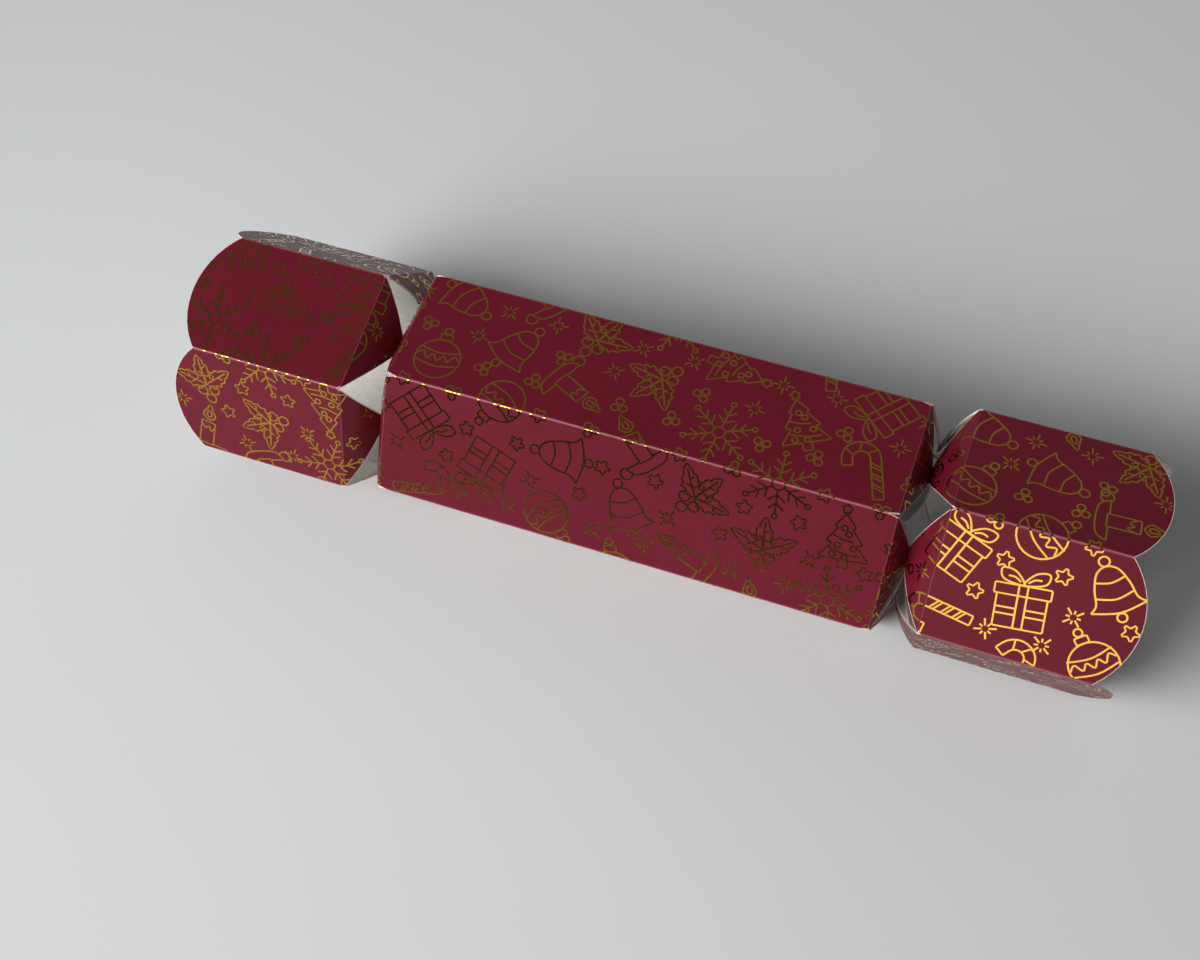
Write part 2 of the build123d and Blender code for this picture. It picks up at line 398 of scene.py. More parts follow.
def green_tissue():
    """Crinkled green tissue of the hat."""
    material, tree, shader, grain, green = grained(
        "green_tissue", fibre=700.0, mottle=220.0, lead="Fibre", dark=(0.016, 0.150, 0.052),
        pale=(0.030, 0.215, 0.080), rough=(0.6, 0.8))
    crinkle = add_node(tree, "ShaderNodeTexVoronoi", {"Vector": object_place(tree), "Scale": 130.0},
                       feature="DISTANCE_TO_EDGE")
    creased = map_range(tree, crinkle["Distance"], 0.0, 0.12)
    paint(tree, shader, creased, (0.055, 0.29, 0.125), green)
    add_bump(tree, math_node(tree, "ADD", creased, grain["Height"]), 0.5, 0.12 * MM, shader)
    return material


def motto_paper():
    """White slip with a fine burgundy frame, drawn on its own sheet coordinates."""
    material, tree, shader, _, paper = grained(
        "motto_paper", fibre=1700.0, mottle=120.0, lead="Fibre", dark=(0.74, 0.73, 0.69),
        pale=(0.84, 0.83, 0.79), rough=(0.58, 0.72), bump=(0.18, 0.05 * MM))
    to_edges = sheet_place(tree, "sheet")
    to_edge = math_node(tree, "MINIMUM", to_edges["X"], to_edges["Y"])
    off_line = distance_to(tree, to_edge, MOTTO_FRAME_INSET)
    frame_line = map_range(tree, off_line, 0.12 * MM, 0.2 * MM, 1.0, 0.0)
    paint(tree, shader, frame_line, paper, (0.14, 0.008, 0.022))
    return material


def turned_beech():
    """Beech turned on its axis, with a stained rim and two burnt lines."""
    material, tree, shader = new_material("turned_beech")
    axis = {"Vector": object_place(tree), "Location": TOP_TIP, "Rotation": (0.0, math.pi / 2 + TOP_TILT, 0.0)}
    turned_place = add_node(tree, "ShaderNodeMapping", axis, vector_type="TEXTURE")[0]
    figure = noise_node(tree, stretched(tree, turned_place, (1.0, 1.0, 0.12)), 420.0, 5.0, 0.6)
    wood = colour_mix(tree, map_range(tree, figure, 0.35, 0.65), (0.42, 0.235, 0.105), (0.60, 0.39, 0.20))
    along = parts_of(tree, turned_place)["Z"]
    start, stop = TOP_RIM
    rim = math_node(tree, "MULTIPLY", map_range(tree, along, start, start + TOP_RIM_FADE),
                    map_range(tree, along, stop, stop + TOP_RIM_FADE, 1.0, 0.0))
    stained = colour_mix(tree, rim, wood, (0.16, 0.012, 0.024))
    burnt = [map_range(tree, distance_to(tree, along, place), 0.12 * MM, 0.25 * MM, 1.0, 0.0)
             for place in TOP_LINES]
    lines = math_node(tree, "MAXIMUM", *burnt)
    paint(tree, shader, lines, stained, (0.07, 0.03, 0.012))
    feed(tree, shader["Roughness"], map_range(tree, figure, *GRAIN_SPAN, 0.38, 0.52))
    add_bump(tree, math_node(tree, "SUBTRACT", figure, lines), 0.2, 0.08 * MM, shader)
    return material


PRINT = burgundy_print()
FOIL = gold_foil()
# uncoated white inside of the board
LINING = grained("white_lining", fibre=1000.0, mottle=90.0, lead="Fibre", dark=(0.74, 0.72, 0.68),
                 pale=(0.86, 0.845, 0.81), rough=(0.62, 0.78), bump=(0.22, 0.08 * MM))[0]
# cut edge of the board: pale fibres with a blush of ink
CORE = grained("cut_core", fibre=2600.0, mottle=300.0, lead="Fibre", dark=(0.62, 0.42, 0.38),
               pale=(0.86, 0.74, 0.68), rough=(0.75, 0.9), bump=(0.4, 0.05 * MM), span=(0.35, 0.7))[0]
# gritty dark paste on the facing ends of the snap strips
SNAP_PASTE = grained("friction_paste", fibre=3200.0, mottle=900.0, lead="Fibre", dark=(0.045, 0.032, 0.028),
                     pale=(0.15, 0.105, 0.085), rough=(0.82, 0.98), bump=(0.8, 0.08 * MM),
                     span=(0.4, 0.65))[0]
# thin off-white paper band round the snap
SLEEVE = grained("sleeve_paper", fibre=1900.0, mottle=140.0, lead="Mottle", dark=(0.62, 0.57, 0.48),
                 pale=(0.74, 0.70, 0.61), rough=(0.6, 0.75), bump=(0.25, 0.05 * MM))[0]


# Print motifs: open and closed strokes in millimetres, about 16 mm across

def ring(x, y, radius, steps=16):
    """Closed round stroke."""
    angles = [math.tau * step / steps for step in range(steps)]
    return [(x + radius * math.cos(a), y + radius * math.sin(a)) for a in angles], True


def arc(x, y, radius, start, stop, steps=10):
    """Open round stroke between two angles in degrees."""
    angles = [math.radians(start + (stop - start) * step / steps) for step in range(steps + 1)]
    return [(x + radius * math.cos(a), y + radius * math.sin(a)) for a in angles], False


def line(*points):
    """Open stroke of straight runs."""
    return list(points), False


def loop(*points):
    """Closed stroke of straight runs."""
    return list(points), True


def between(a, b, c, d, t):
    """Smooth value from b to c at share t, led by the values on either side."""
    bend = (2 * a - 5 * b + 4 * c - d) * t**2
    ease = (3 * b - a - 3 * c + d) * t**3
    return 0.5 * (2 * b + (c - a) * t + bend + ease)


def smooth(points, closed=False, steps=5):
    """Stroke that passes smoothly through a few points."""
    count = len(points)
    path = []
    for index in range(count if closed else count - 1):
        around = range(index - 1, index + 3)
        near = [points[i % count if closed else min(max(i, 0), count - 1)] for i in around]
        for step in range(steps):
            path.append(tuple(between(*four, step / steps) for four in zip(*near)))
    if not closed:
        path.append(points[-1])
    return path, closed


def both_sides(*strokes):
    """Strokes and their mirror images."""
    return [*strokes, *(([(-x, y) for x, y in points], closed) for points, closed in strokes)]


def turned(strokes, degrees, x=0.0, y=0.0):
    """Strokes turned about the motif's middle, then moved."""
    c = math.cos(math.radians(degrees))
    s = math.sin(math.radians(degrees))
    return [([(x + c * px - s * py, y + s * px + c * py) for px, py in points], closed)
            for points, closed in strokes]


def star(outer, inner, tips=5):
    """Closed pointed star."""
    points = []
    for tip in range(2 * tips):
        radius = outer if tip % 2 == 0 else inner
        angle = math.pi / 2 + math.pi * tip / tips
        points.append((radius * math.cos(angle), radius * math.sin(angle)))
    return points, True


def bauble():
    """Glass ball with a cap, a loop, two bands and a wave between them."""
    bands = [smooth([(-5.3, y + 1.0), (0, y), (5.3, y + 1.0)]) for y in (0.6, -3.4)]
    wave = smooth([(-5.4 + 1.35 * i, -1.0 + (0.8 if i % 2 else -0.8) + 0.06 * (i - 4)**2) for i in range(9)])
    cap = loop((-1.5, 4.5), (-1.5, 6.2), (1.5, 6.2), (1.5, 4.5))
    return [ring(0, -1.2, 5.7, 26), *bands, wave, cap, ring(0, 7.3, 1.0, 10)]


def bell():
    """Hand bell shape with a rim, a clapper and a loop."""
    outline = smooth([(-6.2, -4.6), (-4.6, -3.0), (-3.9, 0.6), (-2.4, 4.2), (0, 5.4),
                      (2.4, 4.2), (3.9, 0.6), (4.6, -3.0), (6.2, -4.6)])
    rim = smooth([(-6.2, -4.6), (0, -5.9), (6.2, -4.6)])
    band = smooth([(-4.2, -1.5), (0, -2.6), (4.2, -1.5)])
    upper = smooth([(-3.3, 2.2), (0, 1.4), (3.3, 2.2)])
    return [outline, rim, band, upper, ring(0, -7.1, 1.1, 12), ring(0, 6.6, 1.2, 12)]


def holly_leaf():
    """One prickly leaf that points along +Y, with its vein."""
    half = smooth([(0, 0), (1.5, 1.0)], steps=2)[0]
    for scallop in range(3):
        low = 1.0 + 2.1 * scallop
        width = (2.6, 2.7, 2.0)[scallop]
        half += [(width, low + 0.3), (width - 0.95, low + 1.2), (width - 0.8, low + 1.8)]
    edge = half + [(0, 9.2)] + [(-x, y) for x, y in reversed(half[1:])]
    return [(edge, True), line((0, 1.2), (0, 7.6)), line((0, 3.0), (1.2, 3.9)), line((0, 4.6), (-1.2, 5.5))]


def holly():
    """Three leaves and three berries."""
    leaves = [stroke for angle in (62, 0, -62) for stroke in turned(holly_leaf(), angle, 0, -1.6)]
    berries = [ring(x, y, 1.35, 12) for x, y in ((-1.7, -3.4), (1.7, -3.4), (0, -5.9))]
    return leaves + berries


def candy_cane():
    """Hooked cane of two parallel lines with slanted stripes."""
    body, hook, bend = 1.25, 3.3, 3.0
    strokes = []
    for side in (-body, body):
        curve = arc(hook, bend, hook - side, 180, 0, 12)[0]
        strokes.append(([(side, -8.0), *curve, (2 * hook - side, 1.2)], False))
    strokes += [line((-body, -8.0), (body, -8.0)), line((2 * hook + body, 1.2), (2 * hook - body, 1.2))]
    for low in (-6.2, -3.4, -0.6):
        strokes.append(line((-body, low), (body, low + 1.5)))
        strokes.append(line((-body, low + 0.95), (body, low + 2.45)))
    for angle in (150, 95, 40):
        a = math.radians(angle)
        b = math.radians(angle - 14)
        strokes.append(line((hook + (hook + body) * math.cos(a), bend + (hook + body) * math.sin(a)),
                            (hook + (hook - body) * math.cos(b), bend + (hook - body) * math.sin(b))))
    return turned(strokes, 0, -2.6, 1.0)


def gift_box():
    """Wrapped parcel with crossed ribbon and a bow."""
    parcel = line((-5.6, 1.4), (-5.6, -6.6), (5.6, -6.6), (5.6, 1.4))
    lid = loop((-6.3, 1.4), (6.3, 1.4), (6.3, 4.0), (-6.3, 4.0))
    ribbon = [line((x, -6.6), (x, 4.0)) for x in (-1.0, 1.0)]
    across = [line((side * 1.0, y), (side * 5.6, y)) for side in (-1, 1) for y in (-3.4, -1.8)]
    bow = smooth([(0, 4.2), (2.2, 7.2), (5.2, 7.6), (4.6, 5.0)], closed=True)
    fold = smooth([(0.8, 4.8), (2.2, 5.8), (3.7, 5.9)])
    return [parcel, lid, *ribbon, *across, *both_sides(bow, fold)]


def snowflake():
    """Six barbed arms round a small hexagon."""
    arm = [line((0, 1.7), (0, 7.8)), line((-1.7, 6.6), (0, 5.0), (1.7, 6.6)),
           line((-2.1, 4.5), (0, 2.9), (2.1, 4.5)), ring(0, 8.5, 0.65, 8)]
    arms = [stroke for turn in range(6) for stroke in turned(arm, 60 * turn)]
    hexagon = [(1.7 * math.sin(math.tau * i / 6), 1.7 * math.cos(math.tau * i / 6)) for i in range(6)]
    return [*arms, (hexagon, True)]


def fir_tree():
    """Three-tiered tree with a trunk, a star and small balls."""
    right = [(0, 6.2), (2.6, 2.6), (1.5, 2.6), (4.4, -1.6), (2.7, -1.6), (6.0, -6.0), (1.1, -6.0)]
    tiers = right + [(1.1, -8.2), (-1.1, -8.2)] + [(-x, y) for x, y in reversed(right[1:])]
    swags = [smooth([(-2.0, -0.9), (0.4, -0.6), (2.9, 0.4)]), smooth([(-3.9, -4.6), (0, -4.3), (3.9, -3.0)])]
    spots = ((0.2, 2.4), (-0.9, 0.9), (1.5, -2.3), (-2.2, -2.6), (2.6, -4.9), (-0.3, -5.3))
    balls = [ring(x, y, 0.75, 8) for x, y in spots]
    return [(tiers, True), *swags, *balls, *turned([star(1.8, 0.75)], 0, 0, 7.4)]


def candle():
    """Candle in a dish, with a flame and a drip."""
    body = loop((-1.9, -5.0), (1.9, -5.0), (1.9, 2.6), (-1.9, 2.6))
    drip = smooth([(-1.9, 1.4), (-0.9, -0.4), (-0.2, 1.2), (0.7, 0.2), (1.9, 1.6)])
    flame = smooth([(0, 3.4), (1.7, 4.8), (0.9, 6.8), (0, 8.7), (-0.9, 6.8), (-1.7, 4.8)], closed=True)
    heart = smooth([(0, 4.3), (0.7, 5.2), (0, 6.8), (-0.7, 5.2)], closed=True)
    dish = smooth([(-6.0, -4.6), (-4.4, -7.0), (0, -7.6), (4.4, -7.0), (6.0, -4.6)])
    lip = [line((-6.0, -4.6), (-1.9, -4.6)), line((1.9, -4.6), (6.0, -4.6))]
    return [body, drip, flame, heart, dish, *lip, arc(6.6, -5.6, 1.5, 120, -150, 10)]


def small_star():
    """Filler star."""
    return [star(2.5, 1.1)]


def berry_trio():
    """Filler of three berries."""
    return [ring(x, y, 0.95, 9) for x, y in ((-1.1, -0.6), (1.1, -0.6), (0, 1.2))]


def twinkle():
    """Filler of short crossed rays."""
    rays = [line((0, 0.8), (0, 2.6)), line((0.55, 0.55), (1.2, 1.2))]
    return [stroke for turn in range(4) for stroke in turned(rays, 90 * turn)]


MOTIFS = (bauble, holly, candy_cane, bell, snowflake, gift_box, candle, fir_tree)
FILLERS = (small_star, berry_trio, twinkle)


def motif_collection(name, makers):
    """Collection of curve objects, one for each motif, in the order given."""
    collection = bpy.data.collections.new(name)
    bpy.context.scene.collection.children.link(collection)
    for number, maker in enumerate(makers):
        curve = bpy.data.curves.new(f"{name}_{number}", "CURVE")
        curve.dimensions = "3D"
        for points, closed in maker():
            spline = curve.splines.new("POLY")
            spline.points.add(len(points) - 1)
            for point, (x, y) in zip(spline.points, points):
                point.co = (x * MM, y * MM, 0, 1)
            spline.use_cyclic_u = closed
        collection.objects.link(bpy.data.objects.new(f"{name}_{number}", curve))
    return collection


FOIL_INPUTS = {
    "Rows": math.ceil(len(SIDES) * PANEL_WIDTH / MOTIF_SPACING) + 2,
    "Columns": math.ceil(2 * (TIP_END + TAIL_SHIFT) / MOTIF_SPACING) + 2,
    "Spacing": MOTIF_SPACING, "Jitter": MOTIF_JITTER, "Line Width": FOIL_LINE, "Flat Share": FOIL_FLAT,
    "Ridge": FOIL_RIDGE, "Sink": FOIL_SINK, "Seed": MOTIF_SEED,
}


def foil_print_tree(motifs, fillers):
    """Geometry nodes: motifs in staggered rows on the flat blank, drawn as raised foil lines."""
    tree = bpy.data.node_groups.new("foil_print", "GeometryNodeTree")
    tree.interface.new_socket("Geometry", in_out="INPUT", socket_type="NodeSocketGeometry")
    for name, value in FOIL_INPUTS.items():
        kind = "NodeSocketInt" if isinstance(value, int) else "NodeSocketFloat"
        tree.interface.new_socket(name, in_out="INPUT", socket_type=kind)
    tree.interface.new_socket("Geometry", in_out="OUTPUT", socket_type="NodeSocketGeometry")
    source = tree.nodes.new("NodeGroupInput").outputs
    target = tree.nodes.new("NodeGroupOutput").inputs
    columns, rows, spacing = source["Columns"], source["Rows"], source["Spacing"]

    def node(kind, sockets, **options):
        return add_node(tree, kind, sockets, **options)[0]

    def number(operation, first, second=0.0):
        return math_node(tree, operation, first, second)

    def times(first, second):
        return math_node(tree, "MULTIPLY", first, second)

    def vector(x=0.0, y=0.0, z=0.0):
        return node("ShaderNodeCombineXYZ", {0: x, 1: y, 2: z})

    def random_vector(low, high, seed_step):
        seed = number("ADD", source["Seed"], seed_step)
        return node("FunctionNodeRandomValue", {0: low, 1: high, "Seed": seed}, data_type="FLOAT_VECTOR")

    length, width = (times(spacing, number("SUBTRACT", count, 1)) for count in (columns, rows))
    grid = node("GeometryNodeMeshGrid",
                {"Size X": length, "Size Y": width, "Vertices X": columns, "Vertices Y": rows})
    index = node("GeometryNodeInputIndex", {})
    column = number("FLOOR", number("DIVIDE", index, rows))
    row = number("MODULO", index, rows)
    stagger = times(number("MODULO", column, 2), times(spacing, 0.5))

    def scattered(collection, seed_step, shift_x, shift_y, jitter):
        """Motifs of one collection on the staggered grid, each moved a little and turned any way."""
        back = times(jitter, -1)
        shift = vector(shift_x, number("ADD", stagger, shift_y))
        loose = random_vector(vector(back, back), vector(jitter, jitter), seed_step)
        offset = node("ShaderNodeVectorMath", {0: shift, 1: loose}, operation="ADD")
        pick = number("ADD", times(column, MOTIF_STEPS[0]), times(row, MOTIF_STEPS[1]))
        apart = {"Collection": collection, "Separate Children": True, "Reset Children": True}
        return node("GeometryNodeInstanceOnPoints", {
            "Points": node("GeometryNodeSetPosition", {"Geometry": grid, "Offset": offset}),
            "Instance": node("GeometryNodeCollectionInfo", apart),
            "Pick Instance": True,
            "Instance Index": number("MODULO", pick, len(collection.objects)),
            "Rotation": random_vector(vector(z=-math.pi), vector(z=math.pi), seed_step + 1),
        })

    scatters = [scattered(motifs, 0, 0.0, 0.0, source["Jitter"])]
    little = times(source["Jitter"], FILLER_JITTER)
    for seed_step, along, across in FILLER_PLACES:
        scatters.append(scattered(fillers, seed_step, times(spacing, along), times(spacing, across), little))
    joined = tree.nodes.new("GeometryNodeJoinGeometry")
    for scatter in scatters:
        tree.links.new(scatter, joined.inputs[0])
    real = node("GeometryNodeRealizeInstances", {0: joined.outputs[0]})
    corner = {"Radius": times(source["Line Width"], FOIL_CORNER), "Count": 1, "Limit Radius": True}
    rounded = node("GeometryNodeFilletCurve", {"Curve": real, **corner}, mode="POLY")
    stroke = tree.nodes.new("GeometryNodeCurveOfPoint").outputs["Curve Index"]
    level = times(number("MODULO", stroke, FOIL_LEVELS), times(source["Sink"], FOIL_LEVEL_STEP))
    lifted = node("GeometryNodeSetPosition", {"Geometry": rounded, "Offset": vector(z=level)})
    upright = node("GeometryNodeSetCurveNormal", {"Curve": lifted}, mode="Z_UP")

    low, ridge = times(source["Sink"], -1), source["Ridge"]
    side = times(source["Line Width"], 0.5)
    flat = times(side, source["Flat Share"])
    corners = (vector(times(side, -1), low), vector(side, low),
               vector(flat, ridge), vector(times(flat, -1), ridge))
    profile = node("GeometryNodeCurvePrimitiveQuadrilateral",
                   {f"Point {place}": point for place, point in enumerate(corners, 1)}, mode="POINTS")
    drawn = node("GeometryNodeCurveToMesh", {"Curve": upright, "Profile Curve": profile, "Fill Caps": True})
    whole = node("GeometryNodeRealizeInstances", {0: drawn})
    tree.links.new(node("GeometryNodeSetMaterial", {"Geometry": whole, "Material": FOIL}), target[0])
    return tree


def flat_foil_print():
    """The whole sheet's foil lines, flat, as one mesh: x along the blank, y round it."""
    motifs = motif_collection("motif", MOTIFS)
    fillers = motif_collection("filler", FILLERS)
    sheet = new_object("foil_sheet", bpy.data.meshes.new("foil_sheet"))
    modifier = sheet.modifiers.new("foil_print", "NODES")
    modifier.node_group = foil_print_tree(motifs, fillers)
    for socket in modifier.node_group.interface.items_tree:
        if socket.name in FOIL_INPUTS:
            modifier[socket.identifier] = FOIL_INPUTS[socket.name]
    graph = bpy.context.evaluated_depsgraph_get()
    mesh = bpy.data.meshes.new_from_object(sheet.evaluated_get(graph))
    bpy.data.objects.remove(sheet)
    for collection in (motifs, fillers):
        for motif in list(collection.objects):
            bpy.data.curves.remove(motif.data)
        bpy.data.collections.remove(collection)
    return mesh


# The card: flat outlines in (along, across), and how each bends into place

CARD_MATERIALS = (PRINT, LINING, CORE)
LINING_SLOT, CORE_SLOT = 1, 2


def barrel_outline():
    """Corners of a barrel panel, with a narrow notch at each."""
    side, straight = PANEL_WIDTH / 2, BARREL_END - BARREL_NOTCH
    half = [(BARREL_END, -CREASE_HALF), (BARREL_END, CREASE_HALF), (straight, side)]
    return [(-straight, -side), (straight, -side), *half, (-straight, side),
            (-BARREL_END, CREASE_HALF), (-BARREL_END, -CREASE_HALF)]


def tail_outline():
    """Corners of a right-hand tail panel, with its round tip."""
    side, straight = PANEL_WIDTH / 2, TAIL_START + TAIL_NOTCH
    radius = (side**2 + TIP_RISE**2) / (2 * TIP_RISE)
    reach = math.asin(side / radius)
    tip = []
    for step in range(TIP_STEPS + 1):
        angle = reach * (2 * step / TIP_STEPS - 1)
        tip.append((TIP_END - radius + radius * math.cos(angle), radius * math.sin(angle)))
    return [(TAIL_START, CREASE_HALF), (TAIL_START, -CREASE_HALF), (straight, -side), *tip, (straight, side)]


def flap_outline(slant, skew, bend):
    """Corners of a neck flap from the start of its bend to its nick."""
    nick = NICK_WIDTH / 2
    return [(-bend, -CREASE_HALF), (0, -CREASE_HALF), (slant, skew - nick), (slant, skew + nick),
            (0, CREASE_HALF), (-bend, CREASE_HALF)]


def die_cut(first, second):
    """Whether an outline's edge is cut: folds and creases run straight along or across."""
    return min(abs(first[0] - second[0]), abs(first[1] - second[1])) > SAME_PLACE


def middle_of(points):
    """Mean of flat points."""
    return sum(map(Vector, points), Vector((0, 0))) / len(points)


def outward(first, second, centre):
    """Normal of an outline's edge that points away from its middle, as long as the edge."""
    run = Vector(second) - Vector(first)
    normal = Vector((run.y, -run.x))
    return -normal if normal.dot(Vector(first) - centre) < 0 else normal


def inset_outline(outline, cut_margin, fold_margin):
    """A convex outline moved in by one margin at its cut edges and another at its folds."""
    centre = middle_of(outline)
    moved = []
    count = len(outline)
    for index in range(count):
        before, here, after = (Vector(outline[(index + step) % count]) for step in (-1, 0, 1))
        normals, margins = [], []
        for first, second in ((before, here), (here, after)):
            normals.append(-outward(first, second, centre).normalized())
            margins.append(cut_margin if die_cut(first, second) else fold_margin)
        cosine = normals[0].dot(normals[1])
        shares = [(margins[i] - cosine * margins[1 - i]) / (1 - cosine**2) for i in (0, 1)]
        moved.append(tuple(here + normals[0] * shares[0] + normals[1] * shares[1]))
    return moved


def panel_place(turn, way):
    """How a flat panel bends into place: rounded folds at both long edges, then a turn."""
    spin = Matrix.Rotation(turn, 3, "X")

    def place(along, across, lift):
        over = abs(across) - FLAT_HALF
        y, z = across, APOTHEM + lift
        if over > 0:
            angle = over / (PANEL_WIDTH / 2 - FLAT_HALF) * TURN / 2
            y = math.copysign(FLAT_HALF + (CREASE_RADIUS + lift) * math.sin(angle), across)
            z = APOTHEM - CREASE_RADIUS + (CREASE_RADIUS + lift) * math.cos(angle)
        return spin @ Vector((way * along, y, z))

    return place


def flap_place(crease, way, slant, reach, bulge, turn):
    """How a flap folds in from its crease: a round bend, then a slightly bowed slope."""
    spin = Matrix.Rotation(turn, 3, "X")
    fold = math.acos(reach / slant)

    def place(along, across, lift):
        height = CARD + lift
        run = max(along, 0.0)
        angle = fold * (1 + min(along, 0.0) / (CARD * fold))
        bow = 4 * bulge * run / slant * (1 - min(run, slant) / slant)
        x = run * math.cos(angle) + (height + bow) * math.sin(angle)
        z = HINGE_RADIUS - run * math.sin(angle) + (height + bow) * math.cos(angle)
        return spin @ Vector((crease + way * x, across, z))

    return place


def fold_lines():
    """Lines along a panel where its rounded folds change direction, and one beside each fold."""
    step = (PANEL_WIDTH / 2 - FLAT_HALF) / CREASE_STEPS
    places = [FLAT_HALF + step * index for index in range(-1, CREASE_STEPS)]
    return [((0, side * place, 0), (0, 1, 0)) for place in places for side in (-1, 1)]


def flap_lines(slant, bend):
    """Lines across a flap where its bend and its bowed slope change direction."""
    places = [slant * step / FLAP_STEPS for step in range(FLAP_STEPS)]
    places += [-bend * step / CREASE_STEPS for step in range(1, CREASE_STEPS)]
    return [((place, 0, 0), (1, 0, 0)) for place in places]


def flat_face(outline):
    """Flat mesh of one outline, with a narrow rim of bare board beside its cut edges."""
    flat = bmesh.new()
    outer = [flat.verts.new((*point, 0)) for point in outline]
    inner = []
    for vert, point in zip(outer, inset_outline(outline, CUT_RIM, 0.0)):
        moved = (Vector(point) - vert.co.xy).length > SAME_PLACE
        inner.append(flat.verts.new((*point, 0)) if moved else vert)
    flat.faces.new(inner)
    for index, vert in enumerate(outer):
        after = (index + 1) % len(outer)
        if die_cut(outline[index], outline[after]):
            flat.faces.new([vert, outer[after], inner[after], inner[index]]).material_index = CORE_SLOT
    return flat


def cut_at(work, place, normal, clear=False):
    """Cut a mesh with a plane, and clear its outer side or keep both."""
    everything = work.verts[:] + work.edges[:] + work.faces[:]
    bmesh.ops.bisect_plane(work, geom=everything, plane_co=place, plane_no=normal, clear_outer=clear,
                           dist=CUT_REACH)


def add_card(card, flat, place, layout, joined):
    """Add the board over a flat mesh: printed outside, white inside, cut edges round it.

    layout gives the blank's (u, v) for a flat point. An edge at a joined place across runs on
    into the next panel, so it gets no cut edge.
    """
    blank = card.loops.layers.uv.verify()
    outer = {vert: card.verts.new(place(vert.co.x, vert.co.y, 0.0)) for vert in flat.verts}
    inner = {vert: card.verts.new(place(vert.co.x, vert.co.y, -CARD)) for vert in flat.verts}

    def face(corners, sources, slot):
        made = card.faces.new(corners)
        made.material_index = slot
        made.smooth = True
        for corner, vert in zip(made.loops, sources):
            corner[blank].uv = layout(vert.co.x, vert.co.y)

    for flat_part in flat.faces:
        corners = flat_part.verts[:]
        face([outer[vert] for vert in corners], corners, flat_part.material_index)
        back = corners[::-1]
        face([inner[vert] for vert in back], back, LINING_SLOT)
    for edge in flat.edges:
        if len(edge.link_faces) != 1:
            continue
        a, b = edge.verts
        if any(max(abs(a.co.y - across), abs(b.co.y - across)) < SAME_PLACE for across in joined):
            continue
        face([outer[a], inner[a], inner[b], outer[b]], [a, a, b, b], CORE_SLOT)


def finish_mesh(work, name, materials):
    """Close a piece's mesh, turn its faces outwards and make it an object at the origin."""
    bmesh.ops.remove_doubles(work, verts=work.verts, dist=MERGE_REACH)
    bmesh.ops.dissolve_degenerate(work, edges=work.edges, dist=SLIVER)
    bmesh.ops.recalc_face_normals(work, faces=work.faces)
    mesh = bpy.data.meshes.new(name)
    work.to_mesh(mesh)
    work.free()
    mesh.set_sharp_from_angle(angle=SHARP_ANGLE)
    for layer in mesh.uv_layers:
        layer.name = "blank"
    for material in materials:
        mesh.materials.append(material)
    return new_object(name, mesh)


def close_rims(part):
    """Fill the open ends that a cut leaves."""
    for fill in (bmesh.ops.holes_fill, bmesh.ops.triangle_fill):
        rims = [edge for edge in part.edges if len(edge.link_faces) == 1]
        if rims:
            fill(part, edges=rims)


def foil_on(foil, outline, bends, place, to_flat, from_flat):
    """Cut the flat print to one outline, bend it onto the card and add it to a foil mesh.

    to_flat turns the blank's (u, v) into the outline's (along, across); from_flat goes back.
    """
    inset = inset_outline(outline, FOIL_CUT_GAP, FOIL_FOLD_GAP)
    us, vs = zip(*(from_flat(*point) for point in inset))
    keep = [polygon for polygon, box in PRINT_SHEET
            if box[0] < max(us) and box[1] > min(us) and box[2] < max(vs) and box[3] > min(vs)]
    if not keep:
        return
    part = bmesh.new()
    made = {}
    for polygon in keep:
        corners = []
        for number, (u, v, z) in polygon:
            if number not in made:
                made[number] = part.verts.new((*to_flat(u, v), z))
            corners.append(made[number])
        part.faces.new(corners)
    centre = middle_of(inset)
    for first, second in zip(inset, inset[1:] + inset[:1]):
        cut_at(part, (*first, 0), (*outward(first, second, centre), 0), clear=True)
        close_rims(part)
    for bend in bends:
        cut_at(part, *bend)
    blank = foil.loops.layers.uv.verify()
    moved = {vert: foil.verts.new(place(vert.co.x, vert.co.y, vert.co.z)) for vert in part.verts}
    for polygon in part.faces:
        made_face = foil.faces.new([moved[vert] for vert in polygon.verts])
        for corner, vert in zip(made_face.loops, polygon.verts):
            corner[blank].uv = from_flat(vert.co.x, vert.co.y)
    part.free()


def sheet_polygons(mesh):
    """The flat print's faces as numbered corners with a bounding box."""
    polygons = []
    for polygon in mesh.polygons:
        corners = [(number, tuple(mesh.vertices[number].co)) for number in polygon.vertices]
        us, vs, _ = zip(*(co for _, co in corners))
        polygons.append((corners, (min(us), max(us), min(vs), max(vs))))
    return polygons


PRINT_SHEET = sheet_polygons(flat_foil_print())


def joined_places(side):
    """Places across a panel where it runs on into the next one; the seam is cut."""
    half = PANEL_WIDTH / 2
    return {SEAM[0]: (half,), SEAM[1]: (-half,)}.get(side, (-half, half))


def round_place(side):
    """Middle of a panel on the blank, whose long edges meet at the seam."""
    order = (SIDES.index(side) - SIDES.index(SEAM[1])) % len(SIDES)
    return (order - (len(SIDES) - 1) / 2) * PANEL_WIDTH


def dress(piece, body, nodes):
    """Let a piece ride a body in place of its solids."""
    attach(piece, body)
    if nodes:
        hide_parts(*nodes)


def lay_card(card, foil, side, outline, lines, place, way, shift, start=0.0, joined=(), trim=None):
    """Add one flat outline's board and foil lines to their meshes.

    way, shift and start say where the outline lies along the blank. trim cuts it short at the seam.
    """
    middle = round_place(side)

    def from_flat(along, across):
        return start + way * (along + shift), middle - across

    def to_flat(u, v):
        return way * (u - start) - shift, middle - v

    flat = flat_face(outline)
    if trim is not None:
        cut_at(flat, (0, trim, 0), (0, 1, 0), clear=True)
    for line_cut in lines:
        cut_at(flat, *line_cut)
    add_card(card, flat, place, from_flat, joined)
    flat.free()
    foil_on(foil, outline, lines, place, to_flat, from_flat)


